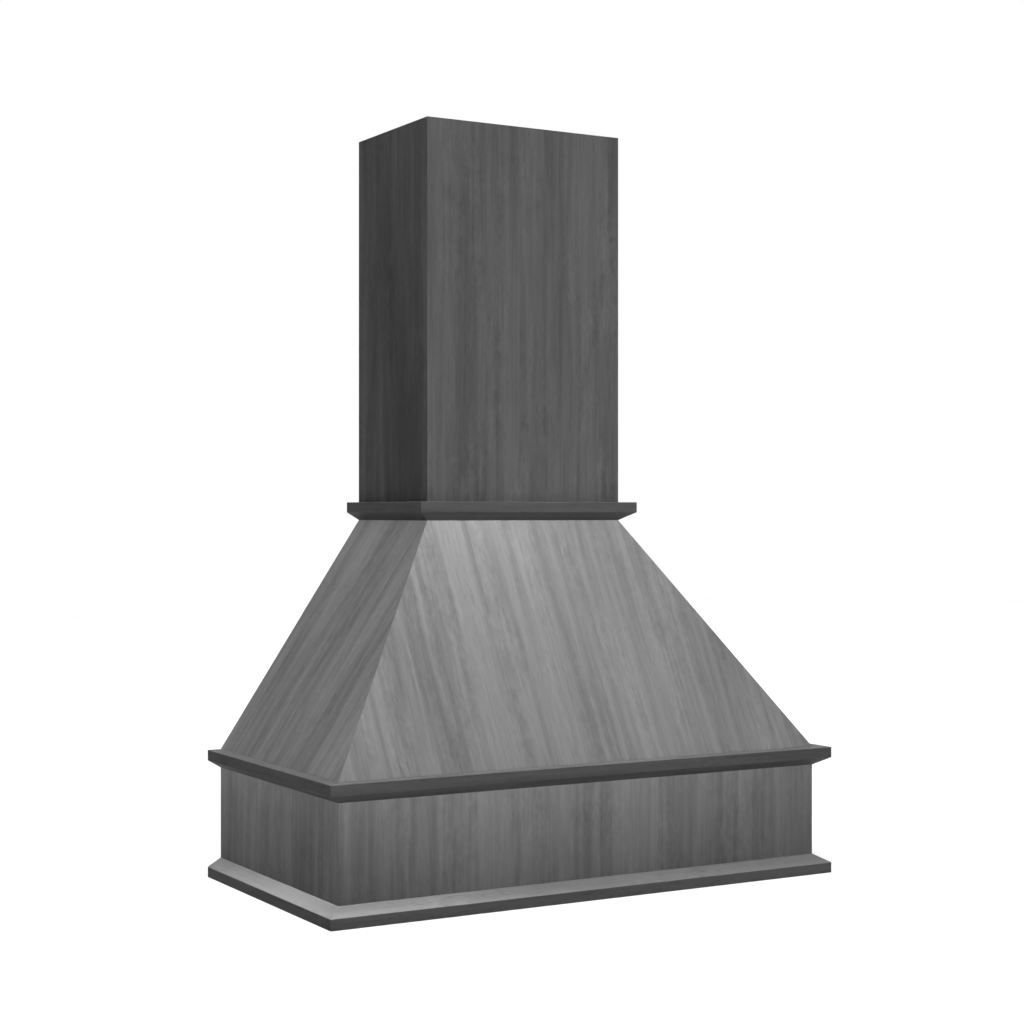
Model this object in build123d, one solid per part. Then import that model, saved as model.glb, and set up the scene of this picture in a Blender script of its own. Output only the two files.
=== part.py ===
from build123d import *
import os
from collections import namedtuple
from math import hypot, radians, tan

# Wooden range hood cover for a wall, in millimetres.
# X runs to the right, Y into the wall, Z up. The wall is the plane Y = 0, the cover's foot is Z = 0,
# and the origin is the middle of the foot's back edge.

# ---- outlines: skirt, canopy and chimney are measured over the panels, without mouldings
SKIRT_WIDTH = 914.0
SKIRT_DEPTH = 483.0
SKIRT_HEIGHT = 220.0
CANOPY_RISE = 397.0
CHIMNEY_WIDTH = 384.0
CHIMNEY_DEPTH = 267.0
CHIMNEY_HEIGHT = 682.0

# ---- boards
PANEL = 18.0  # skirt and chimney panels
SLOPE_PANEL = 12.0  # sloping canopy panels

# ---- moulding stock: a flat face, and a bevel that runs back to the panel
MOULDING_PROJECTION = 24.0
MOULDING_FACE = 18.0
MOULDING_BEVEL = 14.0

# ---- battens, frames and rails inside
BATTEN = 20.0  # cleats, ledgers, frame rails and corner blocks, measured away from the panel
FRAME_HEIGHT = 18.0  # base frame and top frame
SLOPE_CLEAT_HEIGHT = 20.0
CLEAT_HEIGHT = 30.0  # chimney and ceiling cleats
LEDGER_HEIGHT = 30.0
LEDGER_RISE = 25.0  # from the foot to the underside of the liner ledgers
HIP_BLOCK_LEG = 40.0
RAIL_HEIGHT = 90.0
RAIL_THICKNESS = 18.0
CANOPY_RAIL_RISE = 180.0  # from the canopy's foot to the underside of its wall rail

# ---- holes for the installer's screws
WALL_HOLE = 6.5
STUD_SPACING = 406.4
CHIMNEY_HOLE_SPACING = 200.0
CEILING_HOLE_SPACING = 100.0
CEILING_HOLE_SETBACK = 70.0  # from the wall to the rear pair of ceiling holes

# ---- countersunk wood screws
SCREW_SHANK = 4.2
SCREW_HEAD = 8.2
HEAD_SLOPE = 45.0  # degrees, half the angle of the countersink
SCREW_POINT = 5.0

# ---- dowels
DOWEL = 8.0
DOWEL_LENGTH = 30.0
DOWEL_MARGIN = 22.0  # from a wall rail's upper and lower edges

# ---- fits
HOLE_CLEARANCE = 0.1  # round screws and dowels, on the radius and at the end
BLIND_COVER = 6.0  # wood left beyond the end of a screw or dowel

# ---- flat sides round each screw, each dowel and their holes, few because there are so many of them
ROUND_SIDES = 12

# ---- screws in each row of battens: along the front batten, and along each side batten
LEDGER_SCREW_COUNTS = (4, 2)
BASE_FRAME_SCREW_COUNTS = (4, 2)
SLOPE_CLEAT_SCREW_COUNTS = (5, 3)
CHIMNEY_SCREW_COUNTS = (2, 2)
UPRIGHT_MARGIN = 45.0  # from a batten's ends to its first and last upright screw
LEVEL_MARGIN = 80.0  # the same for level screws, which pass between the upright ones
CEILING_MARGIN = 25.0  # the same for the ceiling cleats, which pass beside the ceiling holes

# ---- what follows from the sizes above
Outline = namedtuple("Outline", "side front")  # middle to side face, and wall to front face
SKIRT = Outline(SKIRT_WIDTH / 2, SKIRT_DEPTH)
CHIMNEY = Outline(CHIMNEY_WIDTH / 2, CHIMNEY_DEPTH)
SIDE_RUN = SKIRT.side - CHIMNEY.side
FRONT_RUN = SKIRT.front - CHIMNEY.front
CANOPY_FOOT = SKIRT_HEIGHT
CANOPY_TOP = SKIRT_HEIGHT + CANOPY_RISE
TOTAL_HEIGHT = CANOPY_TOP + CHIMNEY_HEIGHT
MOULDING_HEIGHT = MOULDING_FACE + MOULDING_BEVEL
INNER_FACE = PANEL + BATTEN  # from the outside of a panel to the inside of its batten
MIDDLE_LINE = PANEL + BATTEN / 2  # from the outside of a panel to the middle of its batten
SCREW_HEAD_DEPTH = (SCREW_HEAD - SCREW_SHANK) / 2 / tan(radians(HEAD_SLOPE))

# Level thickness of the sloping panels, which grows with their lean.
SIDE_SLOPE_STEP = SLOPE_PANEL * hypot(SIDE_RUN, CANOPY_RISE) / CANOPY_RISE
FRONT_SLOPE_STEP = SLOPE_PANEL * hypot(FRONT_RUN, CANOPY_RISE) / CANOPY_RISE

SIDES = {"left": -1, "right": 1}
OUTWARD = {"front": (0, -1, 0), "left": (-1, 0, 0), "right": (1, 0, 0)}
UP, DOWN, TO_WALL = (0, 0, 1), (0, 0, -1), (0, 1, 0)

pieces = {}


# ---------------------------------------------------------------- stock and cuts
def board(x_range, y_range, z_range):
    """A square-edged board between two values on each axis, given in either order."""
    spans = [sorted(span) for span in (x_range, y_range, z_range)]
    centre = [(low + high) / 2 for low, high in spans]
    size = [high - low for low, high in spans]
    return Pos(*centre) * Box(*size)


def facing(point, normal):
    """A plane through a point that looks along a direction."""
    return Plane(origin=point, z_dir=normal)


def turned(plane):
    return facing(plane.origin, -plane.z_dir)


def cut_off(stock, *planes):
    """The stock with what lies in front of each plane sawn off."""
    for plane in planes:
        stock = split(stock, bisect_by=plane, keep=Keep.BOTTOM)
    return stock


def front_mitres(outline):
    """The upright 45 degree planes through both front corners, looking away from the front piece."""
    return [facing((side * outline.side, -outline.front, 0), (side, 1, 0)) for side in SIDES.values()]


def side_mitre(outline, side):
    """The same plane through one front corner, looking away from the side piece."""
    return facing((side * outline.side, -outline.front, 0), (-side, -1, 0))


def along(start, end, count, margin):
    """Evenly spaced places along a batten, the first and last a margin in from its ends."""
    low, high = sorted((start, end))
    step = (high - low - 2 * margin) / (count - 1)
    return [low + margin + index * step for index in range(count)]


# ---------------------------------------------------------------- sloping planes of the canopy
def front_slope(step=0.0):
    """The canopy's front plane, moved in by a level step, looking out."""
    return facing((0, step - SKIRT.front, CANOPY_FOOT), (0, -CANOPY_RISE, FRONT_RUN))


def side_slope(side, step=0.0):
    """A side plane of the canopy, moved in by a level step, looking out."""
    return facing((side * (SKIRT.side - step), 0, CANOPY_FOOT), (side * CANOPY_RISE, 0, SIDE_RUN))


def inside_of_slopes():
    """The three planes that the canopy's inner battens are bevelled to."""
    return [front_slope(FRONT_SLOPE_STEP), *(side_slope(side, SIDE_SLOPE_STEP) for side in SIDES.values())]


def hip_line(side):
    """The direction in which a front hip rises."""
    return Vector(-side * SIDE_RUN, FRONT_RUN, CANOPY_RISE)


def hip_mitre(side):
    """The compound mitre through a hip's outer and inner lines, looking away from the front panel."""
    foot = (side * SKIRT.side, -SKIRT.front, CANOPY_FOOT)
    across = Vector(-side * SIDE_SLOPE_STEP, FRONT_SLOPE_STEP, 0)
    normal = hip_line(side).cross(across)
    return facing(foot, normal if normal.X * side > 0 else -normal)


# ---------------------------------------------------------------- screws and dowels
def ring(diameter, level, clearance=0.0):
    """The outline of a screw, a dowel or the hole for one, at a level above the origin."""
    radius = diameter / 2 + clearance
    return Pos(0, 0, level) * RegularPolygon(radius, ROUND_SIDES, major_radius=False)


def head_and_shank(length, clearance=0.0):
    """A countersunk head and its shank, which point up from the origin, or the hole for them."""
    head = extrude(ring(SCREW_HEAD, 0, clearance), SCREW_HEAD_DEPTH, taper=HEAD_SLOPE)
    return head + extrude(ring(SCREW_SHANK, 0, clearance), length)


def screw(length):
    """A countersunk screw that points up from the origin."""
    straight = length - SCREW_POINT
    point = loft([ring(SCREW_SHANK, straight), Vertex(0, 0, length)], ruled=True)
    return head_and_shank(straight) + point


def fasten(group, places, direction, through, into, names):
    """Drives a row of screws through one thickness and into another, and drills the named pieces."""
    length = through + into - BLIND_COVER
    hole = head_and_shank(length + HOLE_CLEARANCE, HOLE_CLEARANCE)
    for place in places:
        spot = facing(place, direction).location
        for name in names:
            pieces[name] = pieces[name] - spot * hole
        pieces.setdefault(group, []).append(spot * screw(length))


def dowel_ends(rail, panels, outline, back, levels):
    """Level dowels in both ends of a rail, blind in the side panels."""
    inner_end = outline.side - BLIND_COVER - DOWEL_LENGTH
    dowel = extrude(ring(DOWEL, 0), DOWEL_LENGTH)
    hole = extrude(ring(DOWEL, -HOLE_CLEARANCE, HOLE_CLEARANCE), DOWEL_LENGTH + 2 * HOLE_CLEARANCE)
    for label, side in SIDES.items():
        for level in levels:
            spot = facing((side * inner_end, back, level), OUTWARD[label]).location
            for name in (rail, f"{panels}_{label}_panel"):
                pieces[name] = pieces[name] - spot * hole
            pieces.setdefault("rail_dowels", []).append(spot * dowel)


def drill(name, place, direction, thickness):
    """A clearance hole for an installer's screw, right through a rail or cleat from one face."""
    spot = facing(place, direction).location
    pieces[name] = pieces[name] - spot * Cylinder(WALL_HOLE / 2, 2 * thickness)


# ---------------------------------------------------------------- panels
def upright_panels(name, outline, foot, top):
    """Three sides of a box against the wall, mitred at the two front corners."""
    front = board((-outline.side, outline.side), (-outline.front, PANEL - outline.front), (foot, top))
    pieces[f"{name}_front_panel"] = cut_off(front, *front_mitres(outline))
    for label, side in SIDES.items():
        x_range = (side * outline.side, side * (outline.side - PANEL))
        stock = board(x_range, (-outline.front, 0), (foot, top))
        pieces[f"{name}_{label}_panel"] = cut_off(stock, side_mitre(outline, side))


def slope_panels():
    """Three leaning boards, cut level at foot and top, with a compound mitre along each hip."""
    stock = board((-SKIRT.side, SKIRT.side), (-SKIRT.front, 0), (CANOPY_FOOT, CANOPY_TOP))
    pieces["slope_front_panel"] = cut_off(
        stock,
        front_slope(),
        turned(front_slope(FRONT_SLOPE_STEP)),
        *(hip_mitre(side) for side in SIDES.values()),
    )
    for label, side in SIDES.items():
        pieces[f"slope_{label}_panel"] = cut_off(
            stock,
            side_slope(side),
            turned(side_slope(side, SIDE_SLOPE_STEP)),
            turned(hip_mitre(side)),
        )


# ---------------------------------------------------------------- mouldings
def moulding_section(bevel_above):
    """The moulding's section, with X out from the panel and Y up."""
    if bevel_above:
        return make_face(
            Polyline(
                (0, 0),
                (MOULDING_PROJECTION, 0),
                (MOULDING_PROJECTION, MOULDING_FACE),
                (0, MOULDING_HEIGHT),
                close=True,
            )
        )
    return make_face(
        Polyline(
            (0, 0),
            (MOULDING_PROJECTION, MOULDING_BEVEL),
            (MOULDING_PROJECTION, MOULDING_HEIGHT),
            (0, MOULDING_HEIGHT),
            close=True,
        )
    )


def moulding(section, start, outward, run, length):
    """A length of moulding whose section stands up at the start and runs along a direction."""
    place = Plane(origin=start, x_dir=outward, z_dir=Vector(outward).cross(Vector(*UP)))
    return extrude(place * section, length, dir=run)


def mouldings(name, outline, foot, bevel_above):
    """Moulding round the front and sides of a box, in three lengths mitred at the front corners."""
    section = moulding_section(bevel_above)
    reach = outline.side + MOULDING_PROJECTION
    front_start = (-reach, -outline.front, foot)
    front = moulding(section, front_start, OUTWARD["front"], OUTWARD["right"], 2 * reach)
    pieces[f"{name}_moulding_front"] = cut_off(front, *front_mitres(outline))
    for label, side in SIDES.items():
        start = (side * outline.side, 0, foot)
        length = outline.front + MOULDING_PROJECTION
        stock = moulding(section, start, OUTWARD[label], OUTWARD["front"], length)
        pieces[f"{name}_moulding_{label}"] = cut_off(stock, side_mitre(outline, side))


# ---------------------------------------------------------------- battens and rails
def batten_ring(name, outline, foot, height, back, seat, bevels=()):
    """Battens along the inside of three panels, the side ones butted against the front one.
    seat is how far their outer faces lie inside the outline, before any bevels."""
    corner_x = outline.side - INNER_FACE
    corner_y = INNER_FACE - outline.front
    outer_x = outline.side - seat
    levels = (foot, foot + height)
    front = board((-outer_x, outer_x), (seat - outline.front, corner_y), levels)
    pieces[f"{name}_front"] = cut_off(front, *bevels)
    for label, side in SIDES.items():
        stock = board((side * corner_x, side * outer_x), (corner_y, back), levels)
        pieces[f"{name}_{label}"] = cut_off(stock, *bevels)


def corner_blocks(name, outline, foot, top):
    """Square glue blocks that stand in the two front corners of a box."""
    for label, side in SIDES.items():
        x_range = (side * (outline.side - PANEL), side * (outline.side - INNER_FACE))
        y_range = (PANEL - outline.front, INNER_FACE - outline.front)
        pieces[f"{name}_corner_block_{label}"] = board(x_range, y_range, (foot, top))


def wall_rail(name, half_length, foot, hole_spacing, hole_level, bevels=()):
    """A nailer that lies against the wall, with two holes for wall screws."""
    stock = board((-half_length, half_length), (-RAIL_THICKNESS, 0), (foot, foot + RAIL_HEIGHT))
    pieces[name] = cut_off(stock, *bevels)
    for side in SIDES.values():
        drill(name, (side * hole_spacing / 2, 0, hole_level), TO_WALL, RAIL_THICKNESS)


def doweled_wall_rail(name, panels, outline, foot, hole_spacing, hole_level):
    """A wall rail between two upright side panels, with two dowels in each end."""
    wall_rail(name, outline.side - PANEL, foot, hole_spacing, hole_level)
    levels = (foot + DOWEL_MARGIN, foot + RAIL_HEIGHT - DOWEL_MARGIN)
    dowel_ends(name, panels, outline, -RAIL_THICKNESS / 2, levels)


# ---------------------------------------------------------------- rows of screws in a ring of battens
def ring_places(outline, line, level, back, counts, margin):
    """Places along the three battens of a ring, on a line that lies inside the outline."""
    front_count, side_count = counts
    corner_x = outline.side - INNER_FACE
    corner_y = INNER_FACE - outline.front
    front_xs = along(-corner_x, corner_x, front_count, margin)
    places = {"front": [(x, line - outline.front, level) for x in front_xs]}
    for label, side in SIDES.items():
        line_x = side * (outline.side - line)
        places[label] = [(line_x, y, level) for y in along(corner_y, back, side_count, margin)]
    return places


def screw_to_panels(group, ring, panels, outline, level, back, counts, margin=LEVEL_MARGIN):
    """Level screws from inside, through each batten into its panel."""
    for label, places in ring_places(outline, INNER_FACE, level, back, counts, margin).items():
        names = (f"{ring}_{label}", f"{panels}_{label}_panel")
        fasten(group, places, OUTWARD[label], BATTEN, PANEL, names)


def screw_rings(group, first, second, outline, level, direction, through, into, counts):
    """Upright screws that join one ring of battens to another along their middle lines."""
    rows = ring_places(outline, MIDDLE_LINE, level, -BATTEN, counts, UPRIGHT_MARGIN)
    for label, places in rows.items():
        fasten(group, places, direction, through, into, (f"{first}_{label}", f"{second}_{label}"))


# ---------------------------------------------------------------- skirt
def liner_ledgers():
    """Battens round the skirt that carry the ventilator's liner, the rear one on the wall rail."""
    back = -RAIL_THICKNESS - BATTEN
    middle = LEDGER_RISE + LEDGER_HEIGHT / 2
    inner_side = SKIRT.side - PANEL
    batten_ring("liner_ledger", SKIRT, LEDGER_RISE, LEDGER_HEIGHT, back, PANEL)
    rear_levels = (LEDGER_RISE, LEDGER_RISE + LEDGER_HEIGHT)
    pieces["liner_ledger_rear"] = board((-inner_side, inner_side), (back, -RAIL_THICKNESS), rear_levels)
    screw_to_panels("ledger_screws", "liner_ledger", "skirt", SKIRT, middle, back, LEDGER_SCREW_COUNTS)
    rear_count = LEDGER_SCREW_COUNTS[0]
    rear = [(x, back, middle) for x in along(-inner_side, inner_side, rear_count, LEVEL_MARGIN)]
    names = ("liner_ledger_rear", "skirt_wall_rail")
    fasten("ledger_screws", rear, TO_WALL, BATTEN, RAIL_THICKNESS, names)


def base_frame():
    """A level frame flush with the skirt's top edge, its rear rail doweled into the side panels."""
    foot = SKIRT_HEIGHT - FRAME_HEIGHT
    middle = SKIRT_HEIGHT - FRAME_HEIGHT / 2
    inner_side = SKIRT.side - PANEL
    batten_ring("base_frame", SKIRT, foot, FRAME_HEIGHT, -BATTEN, PANEL)
    pieces["base_frame_rear"] = board((-inner_side, inner_side), (-BATTEN, 0), (foot, SKIRT_HEIGHT))
    dowel_ends("base_frame_rear", "skirt", SKIRT, -BATTEN / 2, (middle,))
    counts = BASE_FRAME_SCREW_COUNTS
    screw_to_panels("base_frame_screws", "base_frame", "skirt", SKIRT, middle, -BATTEN, counts)


def skirt():
    upright_panels("skirt", SKIRT, 0, SKIRT_HEIGHT)
    mouldings("base", SKIRT, 0, bevel_above=True)
    mouldings("band", SKIRT, SKIRT_HEIGHT - MOULDING_HEIGHT, bevel_above=False)
    ledger_top = LEDGER_RISE + LEDGER_HEIGHT
    hole_level = (ledger_top + RAIL_HEIGHT) / 2
    doweled_wall_rail("skirt_wall_rail", "skirt", SKIRT, 0, STUD_SPACING, hole_level)
    liner_ledgers()
    base_frame()
    corner_blocks("skirt", SKIRT, ledger_top, SKIRT_HEIGHT - FRAME_HEIGHT)


# ---------------------------------------------------------------- canopy
def slope_cleats():
    """Battens screwed up from the base frame, bevelled to the inside of the sloping panels."""
    batten_ring("slope_cleat", SKIRT, CANOPY_FOOT, SLOPE_CLEAT_HEIGHT, 0, 0, inside_of_slopes())
    screw_rings(
        "slope_cleat_screws",
        "base_frame",
        "slope_cleat",
        SKIRT,
        SKIRT_HEIGHT - FRAME_HEIGHT,
        UP,
        FRAME_HEIGHT,
        SLOPE_CLEAT_HEIGHT,
        SLOPE_CLEAT_SCREW_COUNTS,
    )


def top_frame():
    """The frame in the canopy's mouth, bevelled to the sloping panels and flush with their top edges."""
    levels = (CANOPY_TOP - FRAME_HEIGHT, CANOPY_TOP)
    inner_x = CHIMNEY.side - INNER_FACE
    inner_y = INNER_FACE - CHIMNEY.front
    full_width = (-SKIRT.side, SKIRT.side)
    stocks = {
        "front": board(full_width, (-SKIRT.front, inner_y), levels),
        "rear": board(full_width, (-BATTEN, 0), levels),
    }
    for label, side in SIDES.items():
        stocks[label] = board((side * inner_x, side * SKIRT.side), (inner_y, -BATTEN), levels)
    for label, stock in stocks.items():
        pieces[f"top_frame_{label}"] = cut_off(stock, *inside_of_slopes())


def hip_blocks():
    """Triangular glue blocks along the inside of the two front hips, from the cleats to the top frame."""
    levels = (CANOPY_FOOT + SLOPE_CLEAT_HEIGHT, CANOPY_TOP - FRAME_HEIGHT)
    for label, side in SIDES.items():
        corner_x = side * (SKIRT.side - SIDE_SLOPE_STEP)
        corner = Vector(corner_x, FRONT_SLOPE_STEP - SKIRT.front, CANOPY_FOOT)
        on_front = corner + Vector(-side * HIP_BLOCK_LEG, 0, 0)
        on_side = corner + Vector(0, HIP_BLOCK_LEG, 0)
        normal = (on_side - on_front).cross(hip_line(side))
        stock = board((0, side * SKIRT.side), (-SKIRT.front, 0), levels)
        inward = facing(on_front, normal if normal.Y > 0 else -normal)
        pieces[f"hip_block_{label}"] = cut_off(stock, *inside_of_slopes(), inward)


def canopy():
    slope_panels()
    slope_cleats()
    top_frame()
    hip_blocks()
    rail_foot = CANOPY_FOOT + CANOPY_RAIL_RISE
    hole_level = rail_foot + RAIL_HEIGHT / 2
    wall_rail("canopy_wall_rail", SKIRT.side, rail_foot, STUD_SPACING, hole_level, inside_of_slopes())


# ---------------------------------------------------------------- chimney
def chimney_cleats():
    """Battens screwed down to the top frame. The chimney slips over them and is screwed to them."""
    batten_ring("chimney_cleat", CHIMNEY, CANOPY_TOP, CLEAT_HEIGHT, -RAIL_THICKNESS, PANEL)
    screw_rings(
        "chimney_cleat_screws",
        "chimney_cleat",
        "top_frame",
        CHIMNEY,
        CANOPY_TOP + CLEAT_HEIGHT,
        DOWN,
        CLEAT_HEIGHT,
        FRAME_HEIGHT,
        CHIMNEY_SCREW_COUNTS,
    )
    middle = CANOPY_TOP + CLEAT_HEIGHT / 2
    screw_to_panels(
        "chimney_panel_screws",
        "chimney_cleat",
        "chimney",
        CHIMNEY,
        middle,
        -RAIL_THICKNESS,
        CHIMNEY_SCREW_COUNTS,
    )


def ceiling_cleats():
    """Battens in the chimney's top, the side ones with holes for screws into the ceiling."""
    foot = TOTAL_HEIGHT - CLEAT_HEIGHT
    back = -RAIL_THICKNESS
    batten_ring("ceiling_cleat", CHIMNEY, foot, CLEAT_HEIGHT, back, PANEL)
    for label, side in SIDES.items():
        for setback in (CEILING_HOLE_SETBACK, CEILING_HOLE_SETBACK + CEILING_HOLE_SPACING):
            place = (side * (CHIMNEY.side - MIDDLE_LINE), -setback, foot)
            drill(f"ceiling_cleat_{label}", place, UP, CLEAT_HEIGHT)
    middle = TOTAL_HEIGHT - CLEAT_HEIGHT / 2
    screw_to_panels(
        "ceiling_cleat_screws",
        "ceiling_cleat",
        "chimney",
        CHIMNEY,
        middle,
        back,
        CHIMNEY_SCREW_COUNTS,
        CEILING_MARGIN,
    )


def chimney():
    upright_panels("chimney", CHIMNEY, CANOPY_TOP, TOTAL_HEIGHT)
    mouldings("collar", CHIMNEY, CANOPY_TOP, bevel_above=False)
    for label, foot in {"lower": CANOPY_TOP, "upper": TOTAL_HEIGHT - RAIL_HEIGHT}.items():
        name = f"chimney_wall_rail_{label}"
        doweled_wall_rail(name, "chimney", CHIMNEY, foot, CHIMNEY_HOLE_SPACING, foot + RAIL_HEIGHT / 2)
    chimney_cleats()
    ceiling_cleats()
    corner_blocks("chimney", CHIMNEY, CANOPY_TOP + CLEAT_HEIGHT, TOTAL_HEIGHT - CLEAT_HEIGHT)


# ---------------------------------------------------------------- build and write
skirt()
canopy()
chimney()

os.makedirs("parts", exist_ok=True)
for name, shape in pieces.items():
    if isinstance(shape, list):
        shape = Compound(children=shape)
    export_step(shape, f"parts/{name}.step")
print(len(pieces), "nodes,", round(TOTAL_HEIGHT, 1), "mm tall")
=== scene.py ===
"""Looks of a wooden range hood cover: finishes, eased edges, screws, lamps, floor and camera.

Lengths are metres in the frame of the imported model: X to the right, Y into the wall, Z up, with the
origin on the wall at the middle of the cover's foot.
"""

import math
from itertools import count

import bmesh
import bpy
from mathutils import Matrix, Vector


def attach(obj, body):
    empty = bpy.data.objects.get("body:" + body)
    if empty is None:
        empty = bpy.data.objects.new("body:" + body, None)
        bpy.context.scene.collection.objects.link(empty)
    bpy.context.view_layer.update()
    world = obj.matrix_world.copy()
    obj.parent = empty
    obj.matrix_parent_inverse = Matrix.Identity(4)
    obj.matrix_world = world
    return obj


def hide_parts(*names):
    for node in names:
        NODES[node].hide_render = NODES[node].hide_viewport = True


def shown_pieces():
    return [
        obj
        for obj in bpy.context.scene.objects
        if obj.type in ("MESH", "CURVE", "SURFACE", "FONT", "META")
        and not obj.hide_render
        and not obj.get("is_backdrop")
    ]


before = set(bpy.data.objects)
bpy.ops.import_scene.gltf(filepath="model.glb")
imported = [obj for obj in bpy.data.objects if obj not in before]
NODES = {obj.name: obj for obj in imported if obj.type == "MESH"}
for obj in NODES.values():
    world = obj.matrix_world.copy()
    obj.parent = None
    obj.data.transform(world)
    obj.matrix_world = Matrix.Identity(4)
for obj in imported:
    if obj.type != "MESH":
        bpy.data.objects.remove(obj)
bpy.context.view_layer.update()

# ---- camera, with its lens and sensor in millimetres
CAMERA_PLACE = (-1.7090, -3.1765, 0.6316)
CAMERA_TURN = math.radians(30.033)
LENS = 68.36
SENSOR = 36.0

# ---- directions
UP = Vector((0, 0, 1))
OUTWARD = {
    "front": Vector((0, -1, 0)),
    "left": Vector((-1, 0, 0)),
    "right": Vector((1, 0, 0)),
    "rear": Vector((0, 1, 0)),
}
SIDES = ("front", "left", "right")

# ---- the darkest and the lightest tone of each material, linear
PANEL_TONES = ((0.112, 0.112, 0.112), (0.215, 0.215, 0.215))
MOULDING_TONES = ((0.082, 0.082, 0.082), (0.150, 0.150, 0.150))
SOFTWOOD_TONES = ((0.36, 0.19, 0.08), (0.66, 0.46, 0.26))
PLY_FACE_TONES = ((0.46, 0.32, 0.19), (0.70, 0.54, 0.37))
PLY_CORE_TONES = ((0.30, 0.18, 0.09), (0.62, 0.46, 0.28))
BEECH_TONES = ((0.46, 0.29, 0.16), (0.68, 0.48, 0.31))
ZINC_TONES = ((0.50, 0.49, 0.45), (0.74, 0.73, 0.68))
PORE_SHADE = 0.70
EDGE_WEAR = 1.15

# ---- how rough each material is where its tone is darkest and where it is lightest
STAIN_ROUGHNESS = (0.62, 0.50)
SOFTWOOD_ROUGHNESS = (0.62, 0.78)
PLY_ROUGHNESS = (0.60, 0.75)
BEECH_ROUGHNESS = (0.50, 0.65)
ZINC_ROUGHNESS = (0.42, 0.26)
PANEL_INSIDE_ROUGHNESS = 0.75

# ---- how deep each material's texture is in metres, and how strongly wood shines
STAIN_BUMP = 0.00012
SOFTWOOD_BUMP = 0.00015
PLY_BUMP = 0.00012
BEECH_BUMP = 0.0001
ZINC_BUMP = 0.00002
TONE_RELIEF = 0.6
STAIN_SPECULAR = 0.03
BARE_SPECULAR = 0.25

# ---- how light or dark a piece is drawn, partly by its stain and partly by painted light and shade. A right piece is as its left one
# painted shade makes most side pieces darker than the front ones, and painted light makes the side slopes
# lighter
STAIN_AND_PAINTED_SHADES = {
    "chimney_front_panel": 1.04,
    "chimney_left_panel": 0.72,
    "slope_front_panel": 1.03,
    "slope_left_panel": 1.12,
    "skirt_front_panel": 0.97,
    "skirt_left_panel": 0.86,
    "base_moulding_front": 0.88,
    "base_moulding_left": 0.88,
    "band_moulding_front": 0.92,
    "band_moulding_left": 0.75,
    "collar_moulding_front": 1.20,
    "collar_moulding_left": 0.97,
}

# ---- painted light and shade on a moulding's faces that look up or down: lighter ledges, and darker towards the
# wood behind on the base's ledge and under the band's and collar's bevels. Their shade at their inner side,
# against the wood behind, and at their outer side, and between which leans a face comes to take it
LEDGE_PAINTED_LIGHT = {"base": (1.15, 1.50), "band": (1.20, 1.20), "collar": (1.00, 1.00)}
UNDER_PAINTED_SHADE = {"base": (1.00, 1.00), "band": (0.75, 0.97), "collar": (0.65, 0.88)}
LEDGE_LEAN = (0.1, 0.3)

# ---- how strong and how ragged a piece's grain is. A right panel is as its left one
GRAINS = {
    "chimney_front_panel": (1.07, 0.6),
    "chimney_left_panel": (1.18, 0.3),
    "slope_front_panel": (1.06, 0.5),
    "slope_left_panel": (1.30, 0.3),
    "skirt_front_panel": (1.04, 0.6),
    "skirt_left_panel": (1.22, 0.3),
}
MOULDING_GRAIN = (0.75, 0.5)

# ---- how wide the lines of grain are on the panels of a side, against the figure's own
GRAIN_WIDTHS = {"front": 1.0, "left": 1.7, "right": 1.7}

# ---- how far lines of grain swing in all, in long drifts and in short waves, and rings per metre of wood
DRIFT_SWING = 0.012
WAVE_SWING = 0.006
RING_COUNT = 270.0

# ---- where in the grain boards are cut: the first cut, the step from one to the next, and the span
# after which the steps start again. All panels are cut at one depth
CUT_START = (0.21, 0.06, 0.0)
CUT_STEP = (0.731, 0.377, 1.193)
CUT_SPAN = (3.0, 1.0, 5.0)
SHEET_DEPTH = 0.5

# ---- the number of the first cut of each kind of board
PANEL_CUT = 1
MOULDING_CUT = 21
BATTEN_CUT = 41
RAIL_CUT = 80
DOWEL_CUT = 90

# ---- boards: their layers, their eased edges, and how far outward a sloping panel's face at least looks
VENEER = 0.0008
VENEER_BLUR = 0.1
PLY = 0.0014
EASED_EDGE = 0.0007
FINE_EDGE = 0.0003
EASED_SEGMENTS = 2
EASED_ANGLE = math.radians(40)
FLAT_ANGLE = math.radians(1)
OUTER_LEAN = 0.3
WELD = 0.00001

# ---- lamps and world. A power in watts suits its lamp's distance, and a spot's size is in radians
AMBIENT = 0.18
WHITE = 1.0
KEY_DIRECTION = (0.0, -0.25, 1.0)
KEY_STRENGTH = 3.6
KEY_ANGLE = math.radians(12)
BACK_STRENGTH = 1.5
INSIDE_STRENGTH = 1.5
INSIDE_TILT = 0.3
SLOPE_LAMP = (-0.267, -0.462, 1.145)
SLOPE_POWER = 23.5
SKIRT_FRONT_LAMP = (-0.6, -2.2, 1.0)
SKIRT_FRONT_AIM = (-0.222, -0.483, 1.761)
SKIRT_FRONT_POWER = 745.0
SKIRT_SIDE_LAMP = (-2.2, -0.3, 1.5)
SKIRT_SIDE_AIM = (-0.457, -0.225, 1.972)
SKIRT_SIDE_POWER = 1560.0
SPOT_SIZE = 2.0
BASE_LAMP = (-0.39, -0.35, 0.29)
BASE_POWER = 7.6

# ---- floor
FLOOR_HALF = 8.0
FLOOR_LEVEL = -0.0001
FLOOR_TONE = 0.57
FLOOR_GLOW = 0.54
FLOOR_DIRECTION = (-0.35, -0.60, 1.0)
FLOOR_STRENGTH = 2.9
FLOOR_ANGLE = math.radians(30)


# ---------------------------------------------------------------- nodes
def add(tree, kind, inputs, **settings):
    """A shader node whose inputs are given as values or as sockets to link."""
    node = tree.nodes.new("ShaderNode" + kind)
    for key, value in settings.items():
        setattr(node, key, value)
    for key, value in inputs.items():
        if isinstance(value, bpy.types.NodeSocket):
            tree.links.new(value, node.inputs[key])
        else:
            node.inputs[key].default_value = value
    return node


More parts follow.
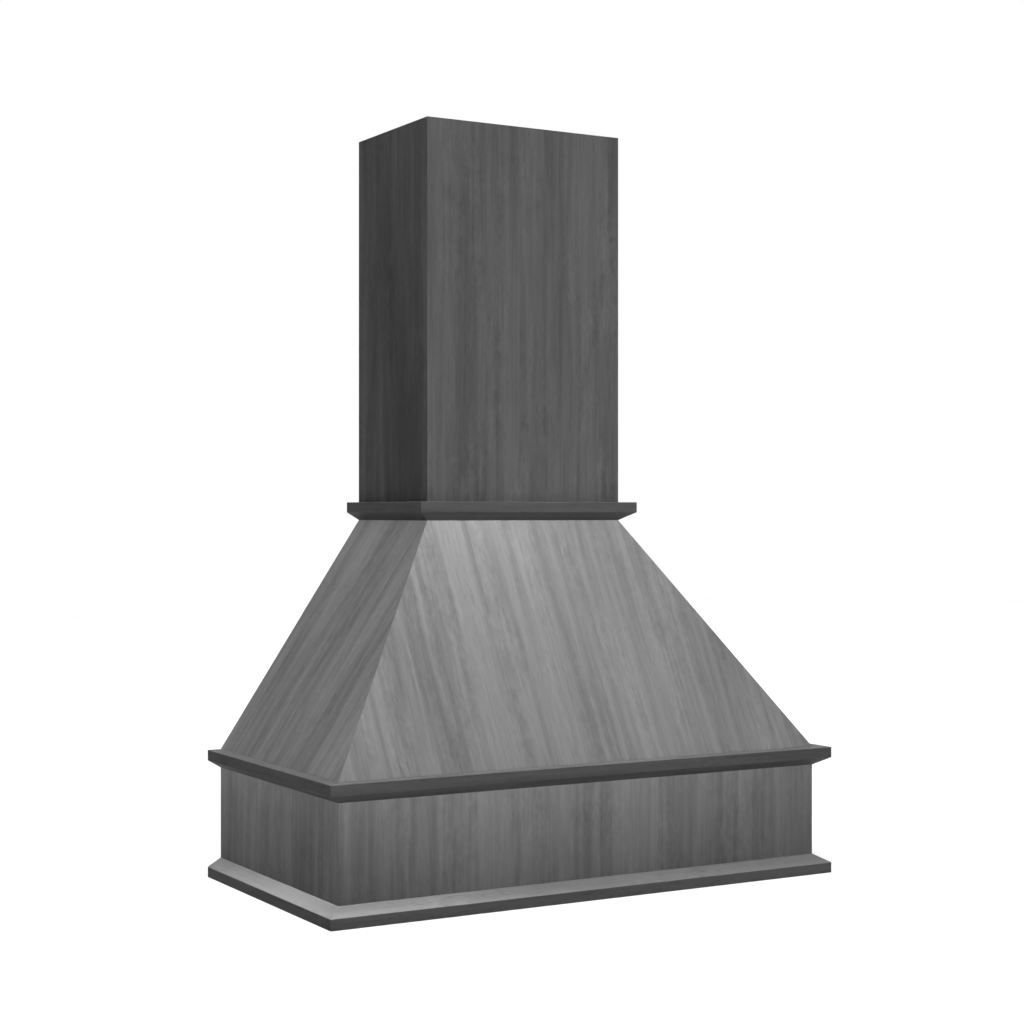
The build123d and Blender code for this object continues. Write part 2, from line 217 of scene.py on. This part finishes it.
def calculate(tree, operation, *values):
    """The result of a sum with these values or sockets."""
    return add(tree, "Math", dict(enumerate(values)), operation=operation).outputs[0]


def ramp(tree, value, low, high, to_low=0.0, to_high=1.0, curve="SMOOTHSTEP"):
    """The value carried from one range to another, and held at its ends."""
    inputs = {"Value": value, "From Min": low, "From Max": high, "To Min": to_low, "To Max": to_high}
    return add(tree, "MapRange", inputs, interpolation_type=curve).outputs[0]


def blend_colours(tree, factor, first, second, how="MIX"):
    """The second colour over the first, where 0, 6 and 7 are the node's factor and its two colours."""
    inputs = {0: factor, 6: opaque(first), 7: opaque(second)}
    return add(tree, "Mix", inputs, data_type="RGBA", blend_type=how).outputs[2]


def opaque(colour):
    """A colour with its alpha, or a socket as it is."""
    return colour if isinstance(colour, bpy.types.NodeSocket) else (*colour, 1.0)


def swing(tree, value, span, middle=0.0):
    """A value from 0 to 1, carried to a span about a middle."""
    return calculate(tree, "MULTIPLY_ADD", value, span, middle - span / 2)


def noise(tree, vector, stretch, detail=2.0, roughness=0.5):
    """Noise in waves per metre across the grain, into the board and along the grain."""
    scaled = add(tree, "VectorMath", {0: vector, 1: stretch}, operation="MULTIPLY").outputs[0]
    inputs = {"Vector": scaled, "Scale": 1.0, "Detail": detail, "Roughness": roughness}
    return add(tree, "TexNoise", inputs).outputs[0]


# ---------------------------------------------------------------- grain
def board_space(tree, grain, outward, offset, width=1.0):
    """Object coordinates turned so that X runs across the grain, Y out of the board and Z along it.
    width is how much wider its lines of grain are than the figure's own."""
    across = grain.cross(outward).normalized()
    depth = outward.normalized()
    turn = Matrix((across, depth, across.cross(depth))).to_euler()
    coordinates = add(tree, "TexCoord", {}).outputs["Object"]
    turned = add(tree, "Mapping", {"Vector": coordinates, "Rotation": turn}).outputs[0]
    inputs = {0: turned, 1: (1 / width, 1, 1), 2: offset}
    return add(tree, "VectorMath", inputs, operation="MULTIPLY_ADD").outputs[0]


def veneer_figure():
    """A node group: board space in, and the tone of open-grained veneer and its pores out. Long bands
    and fine fibres cover the board, and patches of ragged, wavy grain lie between them, as strong as
    the second input says."""
    tree = bpy.data.node_groups.new("veneer_figure", "ShaderNodeTree")
    tree.interface.new_socket("Board", in_out="INPUT", socket_type="NodeSocketVector")
    ragged_input = tree.interface.new_socket("Raggedness", in_out="INPUT", socket_type="NodeSocketFloat")
    ragged_input.default_value = 1.0
    tree.interface.new_socket("Tone", in_out="OUTPUT", socket_type="NodeSocketFloat")
    tree.interface.new_socket("Pores", in_out="OUTPUT", socket_type="NodeSocketFloat")
    board, raggedness = tree.nodes.new("NodeGroupInput").outputs[:2]
    patches = ramp(tree, noise(tree, board, (22, 8, 4), 1.0), 0.42, 0.62)
    patches = calculate(tree, "MULTIPLY", patches, raggedness)
    drift = swing(tree, noise(tree, board, (11, 6, 1.7)), DRIFT_SWING)
    waves = swing(tree, noise(tree, board, (26, 9, 13)), WAVE_SWING)
    waves = calculate(tree, "MULTIPLY", waves, patches)
    shift = add(tree, "CombineXYZ", {"X": calculate(tree, "ADD", drift, waves)}).outputs[0]
    lines = add(tree, "VectorMath", {0: board, 1: shift}, operation="ADD").outputs[0]
    clouds = noise(tree, board, (5, 3, 1.4), 1.0, 1.0)
    bands = ramp(tree, noise(tree, lines, (36, 15, 1.2), 1.0, 1.0), 0.34, 0.66)
    streaks = ramp(tree, noise(tree, lines, (110, 15, 4), 1.0, 1.0), 0.34, 0.66)
    fibres = noise(tree, lines, (260, 40, 12), 1.0, 1.0)
    flecks = noise(tree, lines, (220, 40, 60), 1.0, 1.0)
    ragged = calculate(tree, "SUBTRACT", noise(tree, lines, (55, 15, 22), 2.0, 0.9), 0.5)
    ragged = calculate(tree, "MULTIPLY_ADD", ragged, patches, 0.5)
    shares = {clouds: 0.90, bands: 0.29, streaks: 0.19, fibres: 0.40, flecks: 0.30, ragged: 1.80}
    tone = 0.5
    for layer, share in shares.items():
        tone = calculate(tree, "ADD", tone, swing(tree, layer, share))
    tone = calculate(tree, "MINIMUM", calculate(tree, "MAXIMUM", tone, 0.0), 1.0)
    dashes = ramp(tree, noise(tree, lines, (340, 120, 62)), 0.72, 0.80)
    fine_dashes = ramp(tree, noise(tree, lines, (900, 160, 46), 1.0), 0.62, 0.72)
    clusters = ramp(tree, noise(tree, board, (26, 9, 4), 1.0), 0.45, 0.65)
    pores = calculate(tree, "MAXIMUM", dashes, calculate(tree, "MULTIPLY", fine_dashes, clusters))
    outlet = tree.nodes.new("NodeGroupOutput")
    tree.links.new(tone, outlet.inputs[0])
    tree.links.new(pores, outlet.inputs[1])
    return tree


def softwood_figure():
    """A node group: board space in, and the growth rings of plain-sawn softwood out."""
    tree = bpy.data.node_groups.new("softwood_figure", "ShaderNodeTree")
    tree.interface.new_socket("Board", in_out="INPUT", socket_type="NodeSocketVector")
    tree.interface.new_socket("Tone", in_out="OUTPUT", socket_type="NodeSocketFloat")
    board = tree.nodes.new("NodeGroupInput").outputs[0]
    wander = swing(tree, noise(tree, board, (14, 14, 1.3)), DRIFT_SWING)
    shift = add(tree, "CombineXYZ", {"X": wander, "Y": wander}).outputs[0]
    lines = add(tree, "VectorMath", {0: board, 1: shift}, operation="ADD").outputs[0]
    parts = add(tree, "SeparateXYZ", {0: lines}).outputs
    squares = [calculate(tree, "POWER", parts[i], 2.0) for i in (0, 1)]
    radius = calculate(tree, "SQRT", calculate(tree, "ADD", *squares))
    ring = calculate(tree, "FRACT", calculate(tree, "MULTIPLY", radius, RING_COUNT))
    late_wood = calculate(tree, "POWER", ring, 3.0)
    fibre = noise(tree, lines, (900, 900, 14), 2.0)
    tone = calculate(tree, "SUBTRACT", calculate(tree, "MULTIPLY_ADD", fibre, 0.5, 0.55), late_wood)
    outlet = tree.nodes.new("NodeGroupOutput")
    tree.links.new(calculate(tree, "MAXIMUM", tone, 0.0), outlet.inputs[0])
    return tree


VENEER_FIGURE = veneer_figure()
SOFTWOOD_FIGURE = softwood_figure()


def figure(tree, group, board, **values):
    """The outputs of a figure's node group for one board."""
    return add(tree, "Group", {"Board": board, **values}, node_tree=group).outputs


# ---------------------------------------------------------------- materials
def new_material(name):
    """An empty material and its tree."""
    material = bpy.data.materials.new(name)
    material.use_nodes = True
    material.node_tree.nodes.clear()
    return material, material.node_tree


def show(tree, shader, kind="OutputMaterial"):
    """The tree's output node, linked to its shader."""
    tree.links.new(shader, add(tree, kind, {}).inputs[0])


def finish(tree, height, bump, inputs):
    """A material's shader. bump is the depth of its texture in metres."""
    normal = add(tree, "Bump", {"Height": height, "Distance": bump, "Strength": 1.0}).outputs[0]
    show(tree, add(tree, "BsdfPrincipled", {**inputs, "Normal": normal}).outputs[0])


def finish_wood(tree, colour, roughness, height, bump, specular):
    inputs = {"Base Color": colour, "Roughness": roughness, "Specular IOR Level": specular}
    finish(tree, height, bump, inputs)


def stain(tree, board, tones, shade, strength, raggedness):
    """Stained, lacquered veneer: its colour, its roughness and the height of its open grain."""
    tone, pores = figure(tree, VENEER_FIGURE, board, Raggedness=raggedness)
    tone = swing(tree, tone, strength, 0.5)
    dark, light = ([value * shade for value in colour] for colour in tones)
    colour = blend_colours(tree, tone, dark, light)
    colour = shaded(tree, colour, ramp(tree, pores, 0.0, 1.0, 1.0, PORE_SHADE))
    roughness = ramp(tree, tone, 0.0, 1.0, *STAIN_ROUGHNESS)
    height = calculate(tree, "SUBTRACT", calculate(tree, "MULTIPLY", tone, TONE_RELIEF), pores)
    return colour, roughness, height


def shaded(tree, colour, share):
    """A colour made lighter or darker by a share."""
    grey = add(tree, "CombineColor", {"Red": share, "Green": share, "Blue": share}).outputs[0]
    return blend_colours(tree, 1.0, colour, grey, "MULTIPLY")


def bare_ply(tree, board, depth, thickness):
    """Bare birch plywood's colour and tone: veneer on its inner face and plies of alternate grain at its
    edges. depth is how far a point lies below its outer face."""
    tone = figure(tree, VENEER_FIGURE, board)[0]
    face = blend_colours(tree, tone, *PLY_FACE_TONES)
    ply = calculate(tree, "FRACT", calculate(tree, "DIVIDE", depth, 2 * PLY))
    cross_ply = ramp(tree, calculate(tree, "ABSOLUTE", calculate(tree, "SUBTRACT", ply, 0.5)), 0.20, 0.30)
    fibres = noise(tree, board, (260, 260, 120), 2.0)
    core_tone = calculate(tree, "MULTIPLY_ADD", fibres, 0.5, calculate(tree, "MULTIPLY", cross_ply, 0.5))
    core = blend_colours(tree, core_tone, *PLY_CORE_TONES)
    on_face = ramp(tree, depth, thickness - VENEER, thickness - VENEER / 2)
    return blend_colours(tree, on_face, core, face), tone


def stained_panel(name, grain, outward, face, thickness, offset, width, shade, *manner):
    """Stained plywood: stain on the outer veneer, and bare wood on its edges and inner face.
    face is how far the outer face lies from the origin along the outward direction. manner is how
    strong and how ragged the grain is."""
    material, tree = new_material(name)
    board = board_space(tree, grain, outward, offset, width)
    reach = add(tree, "SeparateXYZ", {0: board}).outputs[1]
    depth = calculate(tree, "SUBTRACT", face + offset[1], reach)
    colour, roughness, height = stain(tree, board, PANEL_TONES, shade, *manner)
    bare, bare_height = bare_ply(tree, board, depth, thickness)
    inside = ramp(tree, depth, VENEER * (1 - VENEER_BLUR), VENEER * (1 + VENEER_BLUR))
    colour = blend_colours(tree, inside, colour, bare)
    bare_roughness = calculate(tree, "MULTIPLY", inside, PANEL_INSIDE_ROUGHNESS)
    roughness = calculate(tree, "MAXIMUM", roughness, bare_roughness)
    height = calculate(tree, "MULTIPLY_ADD", inside, bare_height, height)
    finish_wood(tree, colour, roughness, height, STAIN_BUMP, STAIN_SPECULAR)
    return material


def stained_moulding(name, grain, outward, inner, outer, offset, above, below, shade):
    """Stained solid wood. inner and outer are how far its two sides lie from the origin along the
    outward direction. above and below are the shades there of its faces that look up and down:
    painted light on the ledges, and painted shade that darkens towards the wood behind on the
    base's ledge and under the band's and collar's bevels."""
    material, tree = new_material(name)
    board = board_space(tree, grain, outward, offset)
    reach = add(tree, "SeparateXYZ", {0: board}).outputs[1]
    upward = add(tree, "SeparateXYZ", {0: add(tree, "TexCoord", {}).outputs["Normal"]}).outputs[2]
    # painted light on faces that look up, and painted shade on faces that look down
    painted_light_and_shade = 1.0
    for way, shades in ((1, above), (-1, below)):
        looks = ramp(tree, calculate(tree, "MULTIPLY", upward, way), *LEDGE_LEAN)
        across = ramp(tree, reach, inner + offset[1], outer + offset[1], *shades, "LINEAR")
        change = calculate(tree, "MULTIPLY", looks, calculate(tree, "SUBTRACT", across, 1.0))
        painted_light_and_shade = calculate(tree, "ADD", painted_light_and_shade, change)
    colour, roughness, height = stain(tree, board, MOULDING_TONES, shade, *MOULDING_GRAIN)
    finish_wood(tree, shaded(tree, colour, painted_light_and_shade), roughness, height, STAIN_BUMP, STAIN_SPECULAR)
    return material


def bare_batten(name, grain, outward, offset):
    """Bare planed softwood with its growth rings."""
    material, tree = new_material(name)
    board = board_space(tree, grain, outward, offset)
    tone = figure(tree, SOFTWOOD_FIGURE, board)[0]
    colour = blend_colours(tree, tone, *SOFTWOOD_TONES)
    roughness = ramp(tree, tone, 0.0, 1.0, *SOFTWOOD_ROUGHNESS)
    finish_wood(tree, colour, roughness, tone, SOFTWOOD_BUMP, BARE_SPECULAR)
    return material


def bare_rail(name, grain, outward, thickness, offset):
    """A plywood rail against the wall, with plies across its thickness and veneer on both faces."""
    material, tree = new_material(name)
    board = board_space(tree, grain, outward, offset)
    reach = add(tree, "SeparateXYZ", {0: board}).outputs[1]
    depth = calculate(tree, "ABSOLUTE", calculate(tree, "SUBTRACT", reach, offset[1] - thickness / 2))
    colour, tone = bare_ply(tree, board, calculate(tree, "ADD", depth, thickness / 2), thickness)
    roughness = ramp(tree, tone, 0.0, 1.0, *PLY_ROUGHNESS)
    finish_wood(tree, colour, roughness, tone, PLY_BUMP, BARE_SPECULAR)
    return material


def beech(name, offset):
    """Bare beech with short flecks along the dowels."""
    material, tree = new_material(name)
    board = board_space(tree, OUTWARD["right"], UP, offset)
    flecks = noise(tree, board, (900, 900, 90), 2.0)
    colour = blend_colours(tree, flecks, *BEECH_TONES)
    roughness = ramp(tree, flecks, 0.0, 1.0, *BEECH_ROUGHNESS)
    finish_wood(tree, colour, roughness, flecks, BEECH_BUMP, BARE_SPECULAR)
    return material


def zinc(name):
    """Zinc-plated steel with faint wear."""
    material, tree = new_material(name)
    place = add(tree, "TexCoord", {}).outputs["Object"]
    wear = noise(tree, place, (420, 420, 420), 3.0, 0.6)
    colour = blend_colours(tree, wear, *ZINC_TONES)
    roughness = ramp(tree, wear, 0.2, 0.8, *ZINC_ROUGHNESS)
    finish(tree, wear, ZINC_BUMP, {"Base Color": colour, "Roughness": roughness, "Metallic": 1.0})
    return material


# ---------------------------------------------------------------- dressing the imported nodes
def offset_of(cut):
    """A different place in the grain for each board."""
    return Vector([start + cut * step % span for start, step, span in zip(CUT_START, CUT_STEP, CUT_SPAN)])


def place_in_sheet(face, cut):
    """The offset that brings a panel's outer face to one depth. face is how far it lies from the origin."""
    place = offset_of(cut)
    return Vector((place.x, SHEET_DEPTH - face, place.z))


def dress(node, *materials):
    """The node's materials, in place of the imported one."""
    slots = NODES[node].data.materials
    slots.clear()
    for material in materials:
        slots.append(material)


def ease_edges(node, wear=0, width=EASED_EDGE):
    """Small rounded edges. Their faces take the material slot whose number is given as wear."""
    item = NODES[node]
    weld = item.modifiers.new("weld", "WELD")
    weld.merge_threshold = WELD
    flat = item.modifiers.new("whole faces", "DECIMATE")
    flat.decimate_type = "DISSOLVE"
    flat.angle_limit = FLAT_ANGLE
    bevel = item.modifiers.new("eased edges", "BEVEL")
    bevel.width = width
    bevel.segments = EASED_SEGMENTS
    bevel.limit_method = "ANGLE"
    bevel.angle_limit = EASED_ANGLE
    bevel.material = wear
    item.modifiers.new("even shading", "WEIGHTED_NORMAL")


def corners(node):
    return [vertex.co for vertex in NODES[node].data.vertices]


def reach_of(node, direction):
    """How far a node reaches along a direction from the origin."""
    return max(corner.dot(direction) for corner in corners(node))


def thickness_of(node, direction):
    return reach_of(node, direction) + reach_of(node, -direction)


def slope_outward(side):
    """The outward direction of a sloping panel, from its largest face on that side."""
    mesh = NODES[f"slope_{side}_panel"].data
    outer = max(mesh.polygons, key=lambda face: (face.normal.dot(OUTWARD[side]) > OUTER_LEAN) * face.area)
    return outer.normal.copy()


def twin(node):
    """The left piece that a right one follows in its looks, or any other piece itself."""
    return node.replace("right", "left")


def shades_of(node):
    """The shade of a piece, partly its stain and partly painted light and shade, and of its worn edges
    after it.
    """
    shade = STAIN_AND_PAINTED_SHADES[twin(node)]
    return {node: shade, node + "_edge": shade * EDGE_WEAR}


def dress_panel(node, side, outward, grain, cut, easing=EASED_EDGE):
    face = reach_of(node, outward)
    thickness = thickness_of(node, outward)
    board = (grain, outward, face, thickness, place_in_sheet(face, cut), GRAIN_WIDTHS[side])
    manner = GRAINS[twin(node)]
    dress(node, *(stained_panel(name, *board, shade, *manner) for name, shade in shades_of(node).items()))
    ease_edges(node, wear=1, width=easing)


def dress_panels():
    cuts = count(PANEL_CUT)
    for side in SIDES:
        for box in ("skirt", "chimney"):
            dress_panel(f"{box}_{side}_panel", side, OUTWARD[side], UP, next(cuts))
        outward = slope_outward(side)
        fall = (UP - outward * UP.dot(outward)).normalized()
        dress_panel(f"slope_{side}_panel", side, outward, fall, next(cuts), FINE_EDGE)


def run_of(side):
    """The direction in which a piece on that side of the cover runs."""
    return OUTWARD["right"] if side in ("front", "rear") else OUTWARD["rear"]


def dress_mouldings():
    cuts = count(MOULDING_CUT)
    for ring, above in LEDGE_PAINTED_LIGHT.items():
        for side in SIDES:
            node, outward = f"{ring}_moulding_{side}", OUTWARD[side]
            inner, outer = -reach_of(node, -outward), reach_of(node, outward)
            below = UNDER_PAINTED_SHADE[ring]
            board = (run_of(side), outward, inner, outer, offset_of(next(cuts)), above, below)
            dress(node, *(stained_moulding(name, *board, shade) for name, shade in shades_of(node).items()))
            ease_edges(node, wear=1)


def dress_battens():
    cuts = count(BATTEN_CUT)
    rings = ("liner_ledger", "base_frame", "top_frame", "slope_cleat", "chimney_cleat", "ceiling_cleat")
    for ring in rings:
        for side in OUTWARD:
            node = f"{ring}_{side}"
            if node in NODES:
                dress(node, bare_batten(node, run_of(side), OUTWARD[side], offset_of(next(cuts))))
                ease_edges(node)
    for side in ("left", "right"):
        next(cuts)  # one cut is passed over before each side's blocks
        blocks = {"skirt_corner_block": UP, "chimney_corner_block": UP, "hip_block": hip(side)}
        for block, grain in blocks.items():
            node = f"{block}_{side}"
            dress(node, bare_batten(node, grain, OUTWARD["front"], offset_of(next(cuts))))
            ease_edges(node)


def hip(side):
    """The direction of a hip block, between the middles of its foot and its top."""
    points = corners(f"hip_block_{side}")
    low, high = (pick(point.z for point in points) for pick in (min, max))
    ends = []
    for level in (low, high):
        ring = [point for point in points if abs(point.z - level) < WELD]
        ends.append(sum(ring, Vector()) / len(ring))
    return (ends[1] - ends[0]).normalized()


def dress_rails():
    rails = ("skirt_wall_rail", "canopy_wall_rail", "chimney_wall_rail_lower", "chimney_wall_rail_upper")
    for cut, node in enumerate(rails, start=RAIL_CUT):
        thickness = thickness_of(node, OUTWARD["rear"])
        material = bare_rail(node, OUTWARD["right"], OUTWARD["rear"], thickness, offset_of(cut))
        dress(node, material)
        ease_edges(node)


# ---------------------------------------------------------------- screws
SCREW_SIDES = 24
HEAD_RADIUS = 0.0041
HEAD_RIM = 0.0003
HEAD_DEPTH = 0.0020
SHANK_RADIUS = 0.0021
CORE_RADIUS = 0.0014
PITCH = 0.0018
POINT = 0.005
RECESS_REACH = 0.0023
RECESS_HALF_WIDTH = 0.0005
RECESS_DEPTH = 0.0017
RECESS_TAPER = 0.45


def islands(node):
    """The corners of each separate solid in a node."""
    mesh = bmesh.new()
    mesh.from_mesh(NODES[node].data)
    bmesh.ops.remove_doubles(mesh, verts=mesh.verts, dist=WELD)
    left = set(mesh.verts)
    groups = []
    while left:
        stack = [left.pop()]
        group = []
        while stack:
            vertex = stack.pop()
            group.append(vertex.co.copy())
            near = {edge.other_vert(vertex) for edge in vertex.link_edges} & left
            left -= near
            stack.extend(near)
        groups.append(group)
    mesh.free()
    return sorted(groups, key=lambda group: tuple(round(value, 4) for value in sum(group, Vector())))


def screw_pose(group):
    """Where a screw's head lies, which way the screw points, and its length."""
    low = Vector([min(point[i] for point in group) for i in range(3)])
    high = Vector([max(point[i] for point in group) for i in range(3)])
    axis = max(range(3), key=lambda i: high[i] - low[i])
    middle = (low + high) / 2
    head = max(group, key=lambda point: (point - middle).length_squared - (point[axis] - middle[axis]) ** 2)
    way = Vector()
    way[axis] = 1.0 if head[axis] < middle[axis] else -1.0
    start = middle.copy()
    start[axis] = head[axis]
    return start, way, high[axis] - low[axis]


def screw_profile(length):
    """Radius and depth below the head's top, from the rim to the point, with ridges for the thread."""
    profile = [(HEAD_RADIUS - HEAD_RIM, 0.0), (HEAD_RADIUS, HEAD_RIM / 2), (SHANK_RADIUS, HEAD_DEPTH)]
    depth = HEAD_DEPTH + PITCH
    while depth < length - POINT:
        profile += [(CORE_RADIUS, depth), (SHANK_RADIUS, depth + PITCH / 2)]
        depth += PITCH
    profile.append((CORE_RADIUS, length - POINT))
    return profile


def circle(mesh, radius, depth):
    turns = [2 * math.pi * i / SCREW_SIDES for i in range(SCREW_SIDES)]
    return [mesh.verts.new((radius * math.cos(t), radius * math.sin(t), depth)) for t in turns]


def skin(mesh, first, second):
    """Faces between two rings of vertices."""
    for i in range(len(first)):
        j = (i + 1) % len(first)
        mesh.faces.new((first[i], first[j], second[j], second[i]))


def cross_outline():
    """The twelve corners of a cross recess."""
    arm = [(RECESS_REACH, -RECESS_HALF_WIDTH), (RECESS_REACH, RECESS_HALF_WIDTH)]
    arm.append((RECESS_HALF_WIDTH, RECESS_HALF_WIDTH))
    points = []
    for quarter in range(4):
        turn = Matrix.Rotation(quarter * math.pi / 2, 2)
        points += [turn @ Vector(point) for point in arm]
    return points


def screw_mesh(length):
    """A countersunk wood screw with a cross recess, which points up Z from its head's top."""
    mesh = bmesh.new()
    rings = [circle(mesh, radius, depth) for radius, depth in screw_profile(length)]
    for first, second in zip(rings, rings[1:]):
        skin(mesh, first, second)
    tip = mesh.verts.new((0, 0, length))
    for i in range(SCREW_SIDES):
        mesh.faces.new((rings[-1][i], rings[-1][(i + 1) % SCREW_SIDES], tip))
    mouth = [mesh.verts.new((*point, 0.0)) for point in cross_outline()]
    floor = [mesh.verts.new((*(point * RECESS_TAPER), RECESS_DEPTH)) for point in cross_outline()]
    skin(mesh, mouth, floor)
    mesh.faces.new(floor)
    rim = [mesh.edges.get((rings[0][i], rings[0][i - 1])) for i in range(SCREW_SIDES)]
    slot = [mesh.edges.get((mouth[i], mouth[i - 1])) for i in range(len(mouth))]
    bmesh.ops.triangle_fill(mesh, edges=rim + slot, use_beauty=True)
    bmesh.ops.recalc_face_normals(mesh, faces=mesh.faces)
    return mesh


def fit_screws(node, material):
    """Real screws in place of a node's plain ones, as one piece."""
    joined = bmesh.new()
    for group in islands(node):
        start, way, length = screw_pose(group)
        mesh = screw_mesh(length)
        mesh.transform(Matrix.Translation(start) @ UP.rotation_difference(way).to_matrix().to_4x4())
        part = bpy.data.meshes.new("screw")
        mesh.to_mesh(part)
        mesh.free()
        joined.from_mesh(part)
        bpy.data.meshes.remove(part)
    data = bpy.data.meshes.new(node + "_threaded")
    joined.to_mesh(data)
    joined.free()
    data.materials.append(material)
    piece = bpy.data.objects.new(node + "_threaded", data)
    bpy.context.scene.collection.objects.link(piece)
    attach(piece, "root")
    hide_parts(node)


def dress_fasteners():
    plated = zinc("zinc_screw")
    for node in sorted(NODES):
        if node.endswith("_screws"):
            fit_screws(node, plated)
    dress("rail_dowels", beech("beech_dowel", offset_of(DOWEL_CUT)))


# ---------------------------------------------------------------- stage, lamps and camera
def to_background(tree, inside, outside):
    """A shader that camera, glossy and transmission rays see as the second one."""
    rays = add(tree, "LightPath", {}).outputs
    seen = calculate(tree, "MAXIMUM", rays["Is Camera Ray"], rays["Is Glossy Ray"])
    seen = calculate(tree, "MAXIMUM", seen, rays["Is Transmission Ray"])
    mixed = add(tree, "MixShader", {0: seen})
    tree.links.new(inside, mixed.inputs[1])
    tree.links.new(outside, mixed.inputs[2])
    return mixed.outputs[0]


def build_world():
    world = bpy.data.worlds.new("studio")
    bpy.context.scene.world = world
    world.use_nodes = True
    tree = world.node_tree
    tree.nodes.clear()
    ambient = add(tree, "Background", {"Color": (1, 1, 1, 1), "Strength": AMBIENT}).outputs[0]
    white = add(tree, "Background", {"Color": (1, 1, 1, 1), "Strength": WHITE}).outputs[0]
    show(tree, to_background(tree, ambient, white), "OutputWorld")


def build_floor():
    """A pale floor that keeps the cover's soft shadow. Its glow whitens it, and doesn't light the cover."""
    mesh = bpy.data.meshes.new("floor")
    signs = ((-1, -1), (1, -1), (1, 1), (-1, 1))
    outline = [(x * FLOOR_HALF, y * FLOOR_HALF, FLOOR_LEVEL) for x, y in signs]
    mesh.from_pydata(outline, [], [(0, 1, 2, 3)])
    floor = bpy.data.objects.new("floor", mesh)
    bpy.context.scene.collection.objects.link(floor)
    material, tree = new_material("floor")
    mesh.materials.append(material)
    matt = add(tree, "BsdfDiffuse", {"Color": (FLOOR_TONE, FLOOR_TONE, FLOOR_TONE, 1)}).outputs[0]
    glow = add(tree, "Emission", {"Strength": FLOOR_GLOW}).outputs[0]
    lit = add(tree, "AddShader", {0: matt, 1: glow}).outputs[0]
    show(tree, to_background(tree, matt, lit))
    floor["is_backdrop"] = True
    return floor


def lamp(name, kind, power, place, aim, lit, **settings):
    """A lamp that points from its place to its aim and lights only the pieces in its list."""
    data = bpy.data.lights.new(name, kind)
    data.energy = power
    data.use_shadow = False
    for key, value in settings.items():
        setattr(data, key, value)
    item = bpy.data.objects.new(name, data)
    item.location = place
    item.rotation_euler = (Vector(aim) - Vector(place)).to_track_quat("-Z", "Y").to_euler()
    bpy.context.scene.collection.objects.link(item)
    receivers = bpy.data.collections.new(name)
    for piece in lit:
        receivers.objects.link(piece)
    item.light_linking.receiver_collection = receivers


def nodes_of(group):
    """The front, left and right pieces of a group of panels or mouldings."""
    return [NODES[group.format(side)] for side in SIDES]


def build_lamps(floor):
    """Lamps, each for its own group of pieces. Only the floor's throws a shadow."""
    origin = (0, 0, 0)
    skirt = nodes_of("skirt_{}_panel")
    others = [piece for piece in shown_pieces() if piece not in skirt]
    lamp("key", "SUN", KEY_STRENGTH, KEY_DIRECTION, origin, others, angle=KEY_ANGLE)
    bare = [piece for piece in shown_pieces() if "panel" not in piece.name and "moulding" not in piece.name]
    lamp("back", "SUN", BACK_STRENGTH, OUTWARD["rear"], origin, bare, angle=KEY_ANGLE)
    for side in SIDES:
        inner = OUTWARD["rear"] * INSIDE_TILT - OUTWARD[side]
        panels = [NODES[f"{box}_{side}_panel"] for box in ("skirt", "slope", "chimney")]
        lamp("inside", "SUN", INSIDE_STRENGTH, inner, origin, panels)
    shadow = {"angle": FLOOR_ANGLE, "use_shadow": True}
    lamp("floor", "SUN", FLOOR_STRENGTH, FLOOR_DIRECTION, origin, [floor], **shadow)
    lamp("slope", "POINT", SLOPE_POWER, SLOPE_LAMP, origin, [NODES["slope_front_panel"]])
    lamp("base", "POINT", BASE_POWER, BASE_LAMP, origin, nodes_of("base_moulding_{}"))
    spot = {"spot_size": SPOT_SIZE, "spot_blend": 1.0}
    front, left, right = skirt
    lamp("skirt_front", "SPOT", SKIRT_FRONT_POWER, SKIRT_FRONT_LAMP, SKIRT_FRONT_AIM, [front], **spot)
    for piece, mirror in ((left, 1), (right, -1)):
        place, aim = ((x * mirror, y, z) for x, y, z in (SKIRT_SIDE_LAMP, SKIRT_SIDE_AIM))
        lamp("skirt_side", "SPOT", SKIRT_SIDE_POWER, place, aim, [piece], **spot)


def build_camera():
    data = bpy.data.cameras.new("camera")
    data.lens = LENS
    data.sensor_width = SENSOR
    camera = bpy.data.objects.new("camera", data)
    camera.location = CAMERA_PLACE
    camera.rotation_euler = (math.pi / 2, 0, -CAMERA_TURN)
    bpy.context.scene.collection.objects.link(camera)
    bpy.context.scene.camera = camera


# ---------------------------------------------------------------- run
dress_panels()
dress_mouldings()
dress_battens()
dress_rails()
dress_fasteners()
build_world()
build_lamps(build_floor())
build_camera()
bpy.context.scene.view_settings.view_transform = "Standard"
# The light tree neglects weak lamps among strong ones, which leaves patches in their light
bpy.context.scene.cycles.use_light_tree = False
